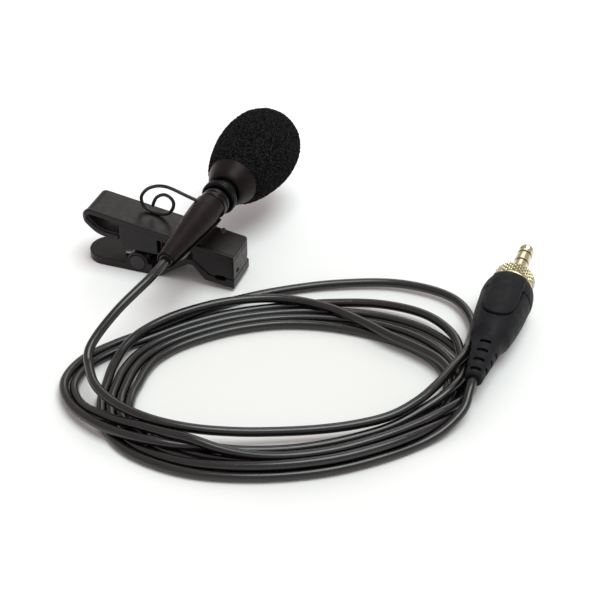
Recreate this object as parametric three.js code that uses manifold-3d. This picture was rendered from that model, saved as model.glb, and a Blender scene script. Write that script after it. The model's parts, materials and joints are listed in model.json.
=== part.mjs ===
// A lavalier microphone on its alligator clip, with a loosely coiled cable and a locking jack plug.
// Millimetres, +Z up. The microphone lies along Y with its foam towards +Y. The clip lies along X with
// its jaws towards +X, and rests on the table (z = 0) with its lower lever.
import * as THREE from 'three'
import { mergeVertices } from 'three/addons/utils/BufferGeometryUtils.js'
import Module from 'manifold-3d'

const wasm = await Module()
wasm.setup()

// ---- driving dimensions ----

const GAP = 0.3 // between pieces that face each other
const FIT = 0.05 // between a piece and the bore or seat that holds it
const ROUND = 32 // sides of a large round piece
const SMALL_ROUND = 20 // sides of a small one

const CENTRE = { x: 0.9, y: 2.65 } // middle of the clip and microphone, which becomes the origin
const MIC = { x: 9.9, z: 15.7, pivot: -9, yaw: 2.6 } // its axis runs along Y, turned a little on the clip
const SLEEVE = { back: -28.5, front: -5.4, radius: 3.75, backRadius: 2.2, bore: 2.5, slit: 1.3 }
const CAPSULE = { back: -5, front: 16, radius: 2.75, wall: 0.4 }
const FOAM = { back: 2.5, seat: 7, front: 33.9, rim: 3.95, seatRadius: 6, bore: 3.1, boreEnd: 18 }

const CLIP = { near: -14, far: -4.4, tip: 18.9, tab: -19.1 } // sides (Y) and ends (X)
const STRIP = { thick: 0.9, backX: -15.6, backZ: 14.4, frontZ: 9.1 } // top face of the spring strip
const PIN = { x: -5.1, z: 2.7, radius: 0.8, head: 1.9 }
const EAR = { radius: 2.6, thick: 1.9 }
const KNUCKLE = 1.9 // radius of the upper jaw's lugs on the pin
const JAW = { bite: 3.1, heel: 8.9, tooth: 0.4, teeth: 5 } // height of the bite, and where the jaw begins

const WIRE = { radius: 0.4, y: -8 } // cable guide, and the plane that it is bent in
const SPRING = { wire: 0.3, radius: 1.35, turns: 4, near: -10.5, far: -7.9 }

const CABLE = { radius: 1, sides: 8 }
const COIL = { x: 40.4, y: -43.1, long: 37.5, short: 23.5, tilt: 19.5 } // middle ellipse of the turns
const PLUG = { x: 79.6, z: 5.9, radius: 5.85 } // axis of the plug, along Y
const BOOT = { back: -34, front: -21.5, backRadius: 1.9, frontRadius: 3.3, slots: 4 }
const BODY = { back: -21.5, parting: -6, front: -0.4 }
const TONGUE = { back: -16.5, front: -1.6, halfWidth: 3.7, round: 5.6, floor: 4.2, proud: 0.35 }
const COUPLING = { hollow: 3.3, front: -3.2, ring: 3.1, bore: 2.5, pins: 1.35 } // inside the two bodies
const JACK = {
  base: -3, root: 2.4, flange: 4.9, radius: 1.75, rod: 0.5, rearBand: 9.9, frontBand: 13.2, band: 0.6, tip: 17.6,
}
const LOCK = { back: 0.7, front: 4.2, radius: 4.7, bore: 3.4 }

// How far the outside and the inside of the coil stand from its middle ellipse, and its height,
// at eight directions, 45 degrees apart, from its left end round by the front.
const COIL_OUTER = [8.4, 7, 5.7, 3.1, 2.2, 20.4, 11, 4.1]
const COIL_INNER = [-8.8, -2.6, -7.4, -6.6, -3.2, -4.5, -3.6, -7]
const COIL_TOP = [6.4, 5.8, 4, 4.3, 5.6, 4, 4.2, 4]

// Centre of the cable, from the microphone down to the coil, and from the coil to the plug.
const LEAD_ROUTE = [
  [9, -28.8, 15.7], [8.8, -32, 15.7], [7.9, -36, 15.1], [6.4, -40, 14.1], [4.8, -44, 12.6],
  [3.4, -47.2, 11], [2.4, -50.3, 9.3], [2, -53, 7.8],
]
// The wire of the cable guide, as [x, z] from the microphone's axis: the arm, then the loop, inwards.
const GUIDE_ROUTE = [
  [-1.6, 2.9], [-4.6, 3.7], [-7.8, 4.6], [-10, 4.9], [-12.4, 4.4], [-14.7, 3], [-16.2, 0.7],
  [-15.8, -1.5], [-14, -2.6], [-11.7, -2.9], [-9.6, -2.3], [-8.3, -0.7], [-8, 1.1], [-8.9, 2.3],
  [-10.4, 2.6], [-12.1, 1.6], [-13, 0.1], [-13.4, -1.2],
]
const TAIL_ROUTE = [[79, -39.6, 4], [79.5, -37.2, 5.2], [79.6, -34.4, 5.9]]

// ---- materials ----

const surface = (color, roughness, metalness = 0) => new THREE.MeshStandardMaterial({ color, roughness, metalness })
const FOAM_BLACK = surface(0x101012, 0.95)
const CLIP_PLASTIC = surface(0x1d1e1d, 0.45)
const SLEEVE_PLASTIC = surface(0x121214, 0.35)
const GLOSS_PLASTIC = surface(0x0b0b0c, 0.15)
const DARK_METAL = surface(0x242426, 0.4, 0.9)
const STEEL = surface(0x9a9ca0, 0.3, 1)
const CABLE_RUBBER = surface(0x19191a, 0.5)
const PLUG_RUBBER = surface(0x1c1d24, 0.7)
const GOLD = surface(0xd9b65a, 0.2, 1)
const INSULATOR = surface(0x0c0c0d, 0.3)
const BOARD = surface(0x1f4a2c, 0.6)

// ---- geometry helpers ----

const rad = THREE.MathUtils.degToRad

/** Volume with a sign: below zero when the faces point in. */
function signedVolume(geometry) {
  const position = geometry.getAttribute('position')
  const index = geometry.index
  const corner = (i) => new THREE.Vector3().fromBufferAttribute(position, index.getX(i))
  let volume = 0
  for (let i = 0; i < index.count; i += 3) {
    volume += corner(i).dot(corner(i + 1).cross(corner(i + 2))) / 6
  }
  return volume
}

/** Welds the vertices of a closed shape and makes its faces point out. */
function closed(geometry) {
  geometry.deleteAttribute('normal')
  geometry.deleteAttribute('uv')
  const welded = mergeVertices(geometry, 1e-4)
  const kept = []
  for (let i = 0; i < welded.index.count; i += 3) {
    const [a, b, c] = [0, 1, 2].map((k) => welded.index.getX(i + k))
    if (a !== b && b !== c && c !== a) kept.push(a, b, c)
  }
  welded.setIndex(kept)
  if (signedVolume(welded) < 0) {
    for (let i = 0; i < kept.length; i += 3) [kept[i], kept[i + 1]] = [kept[i + 1], kept[i]]
    welded.setIndex(kept)
  }
  return welded
}

const toManifold = (geometry) => {
  const mesh = new wasm.Mesh({
    numProp: 3,
    vertProperties: new Float32Array(geometry.getAttribute('position').array),
    triVerts: new Uint32Array(geometry.index.array),
  })
  return new wasm.Manifold(mesh)
}

const fromManifold = (manifold) => {
  const mesh = manifold.getMesh()
  const geometry = new THREE.BufferGeometry()
  geometry.setAttribute('position', new THREE.BufferAttribute(Float32Array.from(mesh.vertProperties), 3))
  geometry.setIndex(Array.from(mesh.triVerts))
  return geometry
}

const join = (...shapes) => fromManifold(shapes.map(toManifold).reduce((a, b) => a.add(b)))
const cut = (shape, ...tools) => fromManifold(tools.map(toManifold).reduce((a, b) => a.subtract(b), toManifold(shape)))
const common = (a, b) => fromManifold(toManifold(a).intersect(toManifold(b)))

/** A round body about the Y axis. profile holds [radius, y] points. */
function turned(profile, sides = ROUND) {
  return closed(new THREE.LatheGeometry(profile.map(([r, y]) => new THREE.Vector2(r, y)), sides))
}

const disc = (radius, back, front, sides) => turned([[0, back], [radius, back], [radius, front], [0, front]], sides)

const ring = (inner, outer, back, front, sides) =>
  turned([[inner, back], [outer, back], [outer, front], [inner, front], [inner, back]], sides)

const shapeOf = (outline) => new THREE.Shape(outline.map(([a, b]) => new THREE.Vector2(a, b)))

/** An outline of [x, z] points, extruded along Y from near to far. */
function slab(outline, near, far) {
  const geometry = new THREE.ExtrudeGeometry(shapeOf(outline), { depth: far - near, bevelEnabled: false })
  return closed(geometry.rotateX(Math.PI / 2).translate(0, far, 0))
}

/** An outline of [x, y] points, extruded up from low to high. */
function plate(outline, low, high) {
  const geometry = new THREE.ExtrudeGeometry(shapeOf(outline), { depth: high - low, bevelEnabled: false })
  return closed(geometry.translate(0, 0, low))
}

const box = (x0, x1, y0, y1, z0, z1) =>
  closed(new THREE.BoxGeometry(x1 - x0, y1 - y0, z1 - z0).translate((x0 + x1) / 2, (y0 + y1) / 2, (z0 + z1) / 2))

/** Points of an arc from one angle to another, in degrees. */
function arc(x, z, radius, from, to, steps) {
  const point = (i) => {
    const angle = rad(from + ((to - from) * i) / steps)
    return [x + radius * Math.cos(angle), z + radius * Math.sin(angle)]
  }
  return Array.from({ length: steps + 1 }, (_, i) => point(i))
}

/** A solid rod that follows a curve. */
function rod(curve, radius, steps, sides) {
  const section = shapeOf(arc(0, 0, radius, 0, 360 - 360 / sides, sides - 1))
  return closed(new THREE.ExtrudeGeometry(section, { steps, extrudePath: curve, bevelEnabled: false }))
}

const smoothCurve = (points) => new THREE.CatmullRomCurve3(points.map((p) => new THREE.Vector3(...p)))

/** A cylinder across the clip, from near to far along Y. */
const cross = (x, z, radius, near, far, sides = SMALL_ROUND) => disc(radius, near, far, sides).translate(x, 0, z)

const mesh = (name, geometry, material) => {
  const result = new THREE.Mesh(geometry, material)
  result.name = name
  return result
}

// ---- the clip ----

const stripSlope = (STRIP.backZ - STRIP.frontZ) / (CLIP.tip - STRIP.backX)
const stripTop = (x) => STRIP.backZ - stripSlope * (x - STRIP.backX)
const underStrip = (x) => stripTop(x) - STRIP.thick - FIT

/** The bent spring strip: a long top leg, a nose at the finger end and a short lower leg. */
function springStrip() {
  const t = STRIP.thick
  const outer = [
    [CLIP.tip, stripTop(CLIP.tip)], [-16.6, stripTop(-16.6)], [-17.9, stripTop(-17.9) - 0.5], [-18.5, 13.3],
    [-18.6, 12.2], [-18.1, 11.3], [-15.2, 8.6], [-14.2, 8.3], [-9.5, 8],
  ]
  const inner = [
    [-9.5, 8 + t], [-14, 8.3 + t], [-14.7, 9.4], [-17.4, 11.9], [-17.7, 12.4],
    [-17.6, 13.2], [-17.2, stripTop(-17.2) - t - 0.1], [-16.2, stripTop(-16.2) - t],
    [CLIP.tip, stripTop(CLIP.tip) - t],
  ]
  return slab([...outer, ...inner], CLIP.near, CLIP.far)
}

/** The toothed line of a jaw's bite, from the tip back to the heel of the teeth. */
function bite(height) {
  const pitch = 0.95
  const points = []
  for (let i = 0; i < JAW.teeth; i += 1) {
    points.push([CLIP.tip - i * pitch, height], [CLIP.tip - (i + 0.5) * pitch, height + JAW.tooth])
  }
  return [...points, [CLIP.tip - JAW.teeth * pitch, height]]
}

const grommetHole = () => {
  const [x, z] = [CLIP.tip - 3.3, JAW.bite]
  const outline = [...arc(x + 0.8, z, 0.65, -90, 90, 6), ...arc(x - 0.8, z, 0.65, 90, 270, 6)]
  return slab(outline, CLIP.near - 1, CLIP.far + 1)
}

/** The upper jaw: hinge block, spine under the strip and the jaw itself, in one moulding. */
function upperJaw() {
  const outline = [
    [-9.2, 6], [-9.2, underStrip(-9.2)], [CLIP.tip, underStrip(CLIP.tip)], ...bite(JAW.bite + GAP / 2),
    [12.9, JAW.bite + 0.8], [JAW.heel, 7.4], [JAW.heel, underStrip(JAW.heel) - 1.1],
    [1.4, underStrip(1.4) - 1.1], [1.4, 6],
  ]
  const moulding = slab(outline, CLIP.near, CLIP.far)
  const inset = EAR.thick + GAP
  const knuckle = join(
    cross(PIN.x, PIN.z, KNUCKLE, CLIP.near + inset, CLIP.far - inset, ROUND),
    box(PIN.x - KNUCKLE, PIN.x + KNUCKLE, CLIP.near + inset, CLIP.far - inset, PIN.z, 6.5),
  )
  const springRoom = cross(PIN.x, PIN.z, 4.2, SPRING.near - 0.4, SPRING.far + 0.4, ROUND)
  const pinHole = cross(PIN.x, PIN.z, PIN.radius + FIT, CLIP.near - 1, CLIP.far + 1)
  const legRoom = box(-16, PIN.x, SPRING.far - 1.3, SPRING.far - 0.1, 3, 7.2)
  const endSlot = box(CLIP.tip - 0.9, CLIP.tip + 1, -12.2, -10.9, 4.1, 5)
  return cut(join(moulding, knuckle), springRoom, pinHole, legRoom, grommetHole(), endSlot)
}

/** The lower lever: a D-shaped finger tab, two ears for the pin, an arched arm and the lower jaw. */
function lowerLever() {
  const outline = [
    [CLIP.tab, 0.4], [-17.6, 0], [0.2, 0], [7.6, 5.1], [8.7, 5.1], [11.7, 1.7], [CLIP.tip, 0.8],
    ...bite(JAW.bite - GAP / 2), [12.7, JAW.bite + 0.3], [9.1, 6.5], [7.1, 6.5], [0.4, 2], [CLIP.tab, 2],
  ]
  const lever = slab(outline, CLIP.near, CLIP.far)
  const middle = (CLIP.near + CLIP.far) / 2
  const half = (CLIP.far - CLIP.near) / 2
  const tabOutline = [
    [20, middle - half - 1], [20, middle + half + 1], [-14.3, middle + half + 1],
    ...arc(-14.3, middle, half, 90, 270, 16), [-14.3, middle - half - 1],
  ]
  const rounded = common(lever, plate(tabOutline, -1, 20))
  const ear = (near) => join(
    cross(PIN.x, PIN.z, EAR.radius, near, near + EAR.thick, ROUND),
    box(PIN.x - EAR.radius, PIN.x + 3.6, near, near + EAR.thick, 0.5, PIN.z),
  )
  const ears = [CLIP.near, CLIP.far - EAR.thick].map(ear)
  const pinHole = cross(PIN.x, PIN.z, PIN.radius + FIT, CLIP.near - 1, CLIP.far + 1)
  const knuckleRoom = cross(PIN.x, PIN.z, KNUCKLE + GAP, CLIP.near + EAR.thick, CLIP.far - EAR.thick, ROUND)
  const headSeat = cross(PIN.x, PIN.z, PIN.head + FIT, CLIP.near - 1, CLIP.near + 0.5)
  return cut(join(rounded, ...ears), knuckleRoom, pinHole, headSeat, grommetHole())
}

/** The pin, with a broad flat head on the near side. */
const hingePin = () => join(
  cross(PIN.x, PIN.z, PIN.radius, CLIP.near, CLIP.far),
  cross(PIN.x, PIN.z, PIN.head, CLIP.near - 0.15, CLIP.near + 0.45),
)

/** The torsion spring: turns about the pin, one leg on the finger tab and one under the upper lever. */
function torsionSpring() {
  const steps = 14
  const { near, far } = SPRING
  const last = SPRING.turns * 360 + 60
  const turns = Array.from({ length: SPRING.turns * steps + 3 }, (_, i, all) => {
    const share = i / (SPRING.turns * steps + 2)
    const angle = rad(200 - share * last)
    const y = near + (far - near) * share
    return [PIN.x + SPRING.radius * Math.cos(angle), y, PIN.z + SPRING.radius * Math.sin(angle)]
  })
  const lowerLeg = [[-9.6, near, 2.4], [-8.4, near, 2.38], [-7.4, near, 2.36]]
  const upperLeg = [[-8.2, far - 0.6, 4.9], [-10.4, far - 0.8, 6.4]]
  return rod(smoothCurve([...lowerLeg, ...turns, ...upperLeg]), SPRING.wire, 96, 6)
}

// ---- the microphone, about its own axis ----

/** The clip's holder: a slit sleeve that tapers towards the cable, on a saddle that stands on the strip. */
function micSleeve() {
  const { back, front, radius, backRadius } = SLEEVE
  const outside = turned([
    [0, back], [backRadius, back], [backRadius + 0.2, back + 2.5], [2.9, -20], [3.35, -15], [radius, -9],
    [radius, front - 0.4], [radius - 0.4, front], [0, front],
  ])
  const seat = (x) => stripTop(x + MIC.x) - MIC.z + 0.1
  const saddle = slab([[-2.6, seat(-2.6)], [1.6, seat(1.6)], [1.4, -2.6], [-1.9, -2.6]], -13.4, -5.6)
  const bore = turned([[0, back - 1], [1.75, back - 1], [1.75, back + 4], [SLEEVE.bore, -20], [SLEEVE.bore, 0], [0, 0]])
  const slit = box(0, radius + 1, back - 1, front + 1, -SLEEVE.slit / 2, SLEEVE.slit / 2).rotateY(rad(12))
  return cut(join(outside, saddle), bore, slit, guideHole())
}

/** The rubber boot over the cable, inside the sleeve. */
const micBoot = () => turned([
  [1.1, SLEEVE.back], [1.6, SLEEVE.back], [1.6, -25.5], [2.2, -19], [2.2, -3.6], [1.1, -3.6],
  [1.1, SLEEVE.back],
], SMALL_ROUND)

const innerCable = () => disc(CABLE.radius, SLEEVE.back, 2, 12)

const capsuleHousing = () => turned([
  [CAPSULE.radius - CAPSULE.wall, CAPSULE.back], [CAPSULE.radius, CAPSULE.back],
  [CAPSULE.radius, CAPSULE.front], [CAPSULE.radius - CAPSULE.wall, CAPSULE.front],
  [CAPSULE.radius - CAPSULE.wall, CAPSULE.back],
])

/** The perforated cap over the capsule: seven round sound holes. */
function capsuleGrille() {
  const cap = disc(CAPSULE.radius, CAPSULE.front + FIT, CAPSULE.front + 0.7)
  const hole = (x, z) => disc(0.35, CAPSULE.front - 1, CAPSULE.front + 2, 10).translate(x, 0, z)
  const around = Array.from({ length: 6 }, (_, i) => hole(1.4 * Math.cos(rad(60 * i)), 1.4 * Math.sin(rad(60 * i))))
  return cut(cap, hole(0, 0), ...around)
}

const electretElement = () => disc(2.2, 10.5, 15.2, SMALL_ROUND)
const circuitBoard = () => disc(2.2, 9.2, 9.9, SMALL_ROUND)
const cableGland = () => ring(1.1, 2.3, -3, 0.5, SMALL_ROUND)

const collar = (outer, back, front) => turned([
  [CAPSULE.radius + FIT, back], [outer - 0.35, back], [outer, back + 0.3], [outer, front - 0.3],
  [outer - 0.35, front], [CAPSULE.radius + FIT, front], [CAPSULE.radius + FIT, back],
])

/** The moulded ring that the foam is bonded to: a short rounded cone. */
function windshieldBase() {
  const { back, seat, rim, seatRadius, bore } = FOAM
  return turned([
    [bore, back + 0.3], [rim - 0.4, back], [rim, back + 0.1], [4.5, 3.3], [5.25, 5], [5.85, 6.6],
    [seatRadius, seat], [bore, seat], [bore, back + 0.3],
  ])
}

/** The foam windshield: egg-shaped, with a blind bore over the capsule. */
function foamWindshield() {
  const { seat, seatRadius, front, bore, boreEnd } = FOAM
  const start = seat + FIT
  return turned([
    [bore, start], [seatRadius, start], [6.95, 8.4], [7.75, 10.5], [8.7, 14], [9.4, 18], [9.6, 21.8], [9.2, 26],
    [8.4, 28.6], [7.2, 30.7], [5.4, 32.4], [3, 33.5], [0, front], [0, boreEnd], [bore, boreEnd], [bore, start],
  ], 40)
}

/** The cable guide: one wire, a straight arm from the sleeve and a spiral loop that stands on the strip. */
const cableGuide = () => rod(smoothCurve(GUIDE_ROUTE.map(([x, z]) => [x, WIRE.y, z])), WIRE.radius, 84, 8)

/** The hole in the sleeve that holds the end of the guide's arm. */
function guideHole() {
  const [[x0, z0], [x1, z1]] = GUIDE_ROUTE
  const ends = [[x0 - 0.1 * (x1 - x0), WIRE.y, z0 - 0.1 * (z1 - z0)], [x1, WIRE.y, z1]]
  return rod(smoothCurve(ends), WIRE.radius + 0.12, 2, 10)
}

// ---- the cable ----

const cableRun = (route, steps) => rod(smoothCurve(route), CABLE.radius, steps, CABLE.sides)

/** A value given at eight directions, as a smooth function of the direction in steps of 45 degrees. */
function around(values, place) {
  const i = Math.floor(place)
  const f = place - i
  const at = (k) => values[(k + values.length) % values.length]
  const [a, b, c, d] = [at(i - 1), at(i), at(i + 1), at(i + 2)]
  return b + 0.5 * f * (c - a + f * (2 * a - 5 * b + 4 * c - d + f * (3 * (b - c) + d - a)))
}

/** The room that the plug and its boot need where they lie against the coil. */
const plugRoom = () => turned([
  [0, -36], [3, -36], [4.3, BODY.back], [PLUG.radius + GAP, -12], [PLUG.radius + GAP, 0], [0, 0],
]).translate(PLUG.x, 0, PLUG.z)

/** The outer shape of the loose coil: an oval ring, as wide and as high as its turns at each place. */
function cableCoil() {
  const steps = 48
  const low = 0.05
  const tilt = rad(COIL.tilt)
  const vertices = []
  for (let i = 0; i < steps; i += 1) {
    const place = (8 * i) / steps
    const angle = rad(180 + 45 * place)
    const top = around(COIL_TOP, place)
    const corners = [
      [around(COIL_INNER, place), low], [around(COIL_OUTER, place), low],
      [around(COIL_OUTER, place), top - 1.2], [around(COIL_OUTER, place) - 1.2, top],
      [around(COIL_INNER, place) + 1.2, top], [around(COIL_INNER, place), top - 1.2],
    ]
    for (const [offset, z] of corners) {
      const x = (COIL.long + offset) * Math.cos(angle)
      const y = (COIL.short + offset) * Math.sin(angle)
      vertices.push(COIL.x + x * Math.cos(tilt) - y * Math.sin(tilt))
      vertices.push(COIL.y + x * Math.sin(tilt) + y * Math.cos(tilt), z)
    }
  }
  const corners = 6
  const index = []
  for (let i = 0; i < steps; i += 1) {
    for (let k = 0; k < corners; k += 1) {
      const a = i * corners + k
      const b = i * corners + ((k + 1) % corners)
      const c = ((i + 1) % steps) * corners + k
      const d = ((i + 1) % steps) * corners + ((k + 1) % corners)
      index.push(a, b, d, a, d, c)
    }
  }
  const geometry = new THREE.BufferGeometry()
  geometry.setAttribute('position', new THREE.Float32BufferAttribute(vertices, 3))
  geometry.setIndex(index)
  return cut(closed(geometry), plugRoom())
}

// ---- the plug, about its own axis ----

/** The outside of the plug's two-part body, as [radius, y] points from back to front. */
const BODY_OUTLINE = [
  [3.5, BODY.back], [4.3, -19.3], [5, -15.5], [5.5, -11], [5.75, BODY.parting], [PLUG.radius, -4.5],
  [5.75, -3], [5.55, -1.8], [5.2, -0.9], [4.8, BODY.front],
]

const bodySolid = (shrink = 0) => turned([
  [0, BODY.back], ...BODY_OUTLINE.map(([r, y]) => [r - shrink, y]), [0, BODY.front],
])

/** A block over the top of the plug with a long round end: the tongue's outline, with a margin round it. */
function tongueBlock(margin, front) {
  const half = TONGUE.halfWidth + margin
  const round = TONGUE.round + margin
  const end = arc(0, 0, 1, 180, 360, 12).map(([x, y]) => [x * half, TONGUE.back + TONGUE.round + y * round])
  return plate([[half, front], [-half, front], ...end], TONGUE.floor - margin, 12)
}

/** The cable connector: the rear half of the body, with a recess for the adaptor's tongue. */
function connectorBody() {
  const rear = common(bodySolid(), disc(12, BODY.back, BODY.parting - GAP / 2))
  const hollow = disc(COUPLING.hollow, -14, 0)
  const bootBore = disc(2.4, BODY.back - 1, -13)
  return cut(rear, tongueBlock(GAP, 0), hollow, bootBore)
}

/** The adaptor: the front half of the body, with a raised tongue that reaches back over the connector. */
function adaptorBody() {
  const front = common(bodySolid(), disc(12, BODY.parting + GAP / 2, BODY.front))
  const tongue = common(tongueBlock(0, TONGUE.front), bodySolid(-TONGUE.proud))
  const hollow = disc(COUPLING.hollow, BODY.parting - 1, COUPLING.front)
  const jackBore = disc(JACK.root + FIT, COUPLING.front - 1, BODY.front + 1)
  return cut(join(front, tongue), hollow, jackBore)
}

/** The strain relief: a tapered boot, slotted across from alternate sides. */
function cableBoot() {
  const { back, front, backRadius, frontRadius } = BOOT
  const boot = turned([
    [0, back], [backRadius - 0.3, back], [backRadius, back + 0.3], [frontRadius, front - GAP],
    [2.3, front - GAP], [2.3, front + 5], [0, front + 5],
  ], 24)
  const slot = (i) => {
    const y = back + 1.9 + i * 2.6
    const side = i % 2 ? 1 : -1
    return box(side > 0 ? 0.9 : -5, side > 0 ? 5 : -0.9, y, y + 0.8, -5, 5)
  }
  return cut(boot, ...Array.from({ length: BOOT.slots }, (_, i) => slot(i)))
}

/** A rod at the place of one of the three contact pins. */
function atPin(i, radius, back, front) {
  const angle = rad(90 + 120 * i)
  return disc(radius, back, front, 10).translate(COUPLING.pins * Math.cos(angle), 0, COUPLING.pins * Math.sin(angle))
}

const contactPin = (i) => atPin(i, 0.4, -12.4, -4.6)
const pinBores = (back, front) => [0, 1, 2].map((i) => atPin(i, 0.45, back, front))
const pinCarrier = () => cut(disc(2.4, -13.7, -9.5, 24), ...pinBores(-14.5, -9))
const couplingSocket = () => cut(disc(2.4, -7.2, -3.6, 24), ...pinBores(-7.5, -4.3))
const couplingRing = () => ring(COUPLING.bore, COUPLING.ring, -12.5, -3.6, 24)

// The jack's contacts and insulators, in line. The tip's rod runs back through all of them.
const jackTip = () => {
  const { base, frontBand, band, tip, radius, rod } = JACK
  const start = frontBand + band
  return turned([
    [0, base], [rod, base], [rod, start], [radius, start], [radius, start + 0.7], [1.25, start + 1.3],
    [1.7, start + 2], [1.65, start + 2.4], [0.7, tip], [0, tip],
  ], 24)
}
const jackPiece = (outer, back, front) => ring(JACK.rod + FIT, outer, back, front, 24)
const jackBand = (start, slack) => jackPiece(JACK.radius, start + 0.01, start + JACK.band - slack)
const jackSleeve = () => turned([
  [JACK.rod + FIT, JACK.base], [JACK.root, JACK.base], [JACK.root, BODY.front + FIT],
  [JACK.flange, BODY.front + FIT], [JACK.flange, LOCK.back - GAP], [JACK.radius, LOCK.back - GAP],
  [JACK.radius, JACK.rearBand], [JACK.rod + FIT, JACK.rearBand], [JACK.rod + FIT, JACK.base],
], 24)

/** The locking ring: a threaded nut that turns freely in front of the jack's flange. */
const lockingRing = () => turned([
  [JACK.radius + FIT, LOCK.back], [LOCK.radius - 0.25, LOCK.back], [LOCK.radius, LOCK.back + 0.25],
  [LOCK.radius, LOCK.front - 0.5], [LOCK.radius - 0.5, LOCK.front], [LOCK.bore, LOCK.front],
  [LOCK.bore, LOCK.back + 0.8], [JACK.radius + FIT, LOCK.back + 0.8], [JACK.radius + FIT, LOCK.back],
], 36)

// ---- assembly ----

const clip = new THREE.Group()
clip.add(
  mesh('spring_strip', springStrip(), CLIP_PLASTIC),
  mesh('upper_jaw', upperJaw(), CLIP_PLASTIC),
  mesh('lower_lever', lowerLever(), CLIP_PLASTIC),
  mesh('hinge_pin', hingePin(), DARK_METAL),
  mesh('torsion_spring', torsionSpring(), STEEL),
)

const microphone = new THREE.Group()
microphone.position.set(0, -MIC.pivot, 0)
microphone.add(
  mesh('mic_sleeve', micSleeve(), SLEEVE_PLASTIC),
  mesh('cable_guide_wire', cableGuide(), DARK_METAL),
  mesh('mic_rear_boot', micBoot(), CABLE_RUBBER),
  mesh('inner_cable', innerCable(), CABLE_RUBBER),
  mesh('cable_gland', cableGland(), INSULATOR),
  mesh('capsule_housing', capsuleHousing(), DARK_METAL),
  mesh('capsule_grille', capsuleGrille(), DARK_METAL),
  mesh('electret_element', electretElement(), STEEL),
  mesh('capsule_circuit_board', circuitBoard(), BOARD),
  mesh('collar_rear_ring', collar(3.4, -5.1, -1.7), GLOSS_PLASTIC),
  mesh('collar_front_ring', collar(4.2, -1.4, 0.5), GLOSS_PLASTIC),
  mesh('windshield_base', windshieldBase(), SLEEVE_PLASTIC),
  mesh('foam_windshield', foamWindshield(), FOAM_BLACK),
)
const turnedMicrophone = new THREE.Group()
turnedMicrophone.position.set(MIC.x, MIC.pivot, MIC.z)
turnedMicrophone.rotation.z = -rad(MIC.yaw)
turnedMicrophone.add(microphone)

const cable = new THREE.Group()
cable.add(
  mesh('cable_lead', cableRun(LEAD_ROUTE, 16), CABLE_RUBBER),
  mesh('cable_coil', cableCoil(), CABLE_RUBBER),
  mesh('cable_tail', cableRun(TAIL_ROUTE, 6), CABLE_RUBBER),
)

const plug = new THREE.Group()
plug.position.set(PLUG.x, 0, PLUG.z)
plug.add(
  mesh('plug_cable_boot', cableBoot(), PLUG_RUBBER),
  mesh('connector_body', connectorBody(), PLUG_RUBBER),
  mesh('connector_pin_carrier', pinCarrier(), INSULATOR),
  ...[0, 1, 2].map((i) => mesh(`connector_pin_${i + 1}`, contactPin(i), GOLD)),
  mesh('coupling_ring', couplingRing(), STEEL),
  mesh('coupling_socket', couplingSocket(), INSULATOR),
  mesh('adaptor_body', adaptorBody(), PLUG_RUBBER),
  mesh('locking_ring', lockingRing(), GOLD),
  mesh('jack_sleeve_contact', jackSleeve(), GOLD),
  mesh('jack_rear_insulator', jackBand(JACK.rearBand, 0), INSULATOR),
  mesh('jack_ring_contact', jackPiece(JACK.radius, JACK.rearBand + JACK.band + 0.01, JACK.frontBand), GOLD),
  mesh('jack_front_insulator', jackBand(JACK.frontBand, 0.01), INSULATOR),
  mesh('jack_tip_contact', jackTip(), GOLD),
)

const lavalier = new THREE.Group()
lavalier.add(clip, turnedMicrophone, cable, plug)
lavalier.position.set(-CENTRE.x, -CENTRE.y, 0)

export default lavalier
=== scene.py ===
"""A lavalier microphone on an alligator clip, with a loosely coiled cable and a locking jack plug.

Every piece is made in millimetres, in the frame of its own part: the clip, the microphone or the
plug. It is then placed in the model's frame, in metres.
"""
import json
from math import cos, floor, hypot, pi, radians, sin

import bmesh
import bpy
import numpy as np
from mathutils import Matrix, Vector, noise


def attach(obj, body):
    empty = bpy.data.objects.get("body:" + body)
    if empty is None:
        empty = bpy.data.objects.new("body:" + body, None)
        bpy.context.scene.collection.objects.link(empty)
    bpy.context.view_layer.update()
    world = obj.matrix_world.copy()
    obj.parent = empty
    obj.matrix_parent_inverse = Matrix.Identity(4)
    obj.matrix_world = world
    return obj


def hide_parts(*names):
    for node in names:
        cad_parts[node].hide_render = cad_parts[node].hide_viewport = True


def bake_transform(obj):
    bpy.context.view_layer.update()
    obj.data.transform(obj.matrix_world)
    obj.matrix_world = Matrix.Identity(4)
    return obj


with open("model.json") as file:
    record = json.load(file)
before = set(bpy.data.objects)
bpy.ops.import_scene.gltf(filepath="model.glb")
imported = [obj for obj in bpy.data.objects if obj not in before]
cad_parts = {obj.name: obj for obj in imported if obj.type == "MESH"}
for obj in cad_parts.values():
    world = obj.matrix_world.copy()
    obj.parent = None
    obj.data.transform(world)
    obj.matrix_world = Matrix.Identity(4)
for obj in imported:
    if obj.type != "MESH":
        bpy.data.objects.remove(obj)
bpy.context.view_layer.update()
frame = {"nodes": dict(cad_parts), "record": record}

MM = 0.001
TO_METRES = Matrix.Scale(MM, 4)

# ---- where things are, in millimetres ----

SHIFT = Vector((-0.9, -2.65, 0))  # from the layout that the sizes below use to the model's frame
MIC = Vector((9.9, -9, 15.7))  # the point that the microphone is turned about
MIC_YAW = radians(-2.6)
MIC_ZERO = Vector((0, 9, 0))  # the zero of the microphone's own sizes, from that point
PLUG = Vector((79.6, 0, 5.9))

LAYOUT = Matrix.Translation(SHIFT)
MIC_TURN = Matrix.Rotation(MIC_YAW, 4, "Z")
MIC_FRAME = LAYOUT @ Matrix.Translation(MIC) @ MIC_TURN @ Matrix.Translation(MIC_ZERO)
PLUG_FRAME = Matrix.Translation(SHIFT + PLUG)

# ---- camera ----

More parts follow.
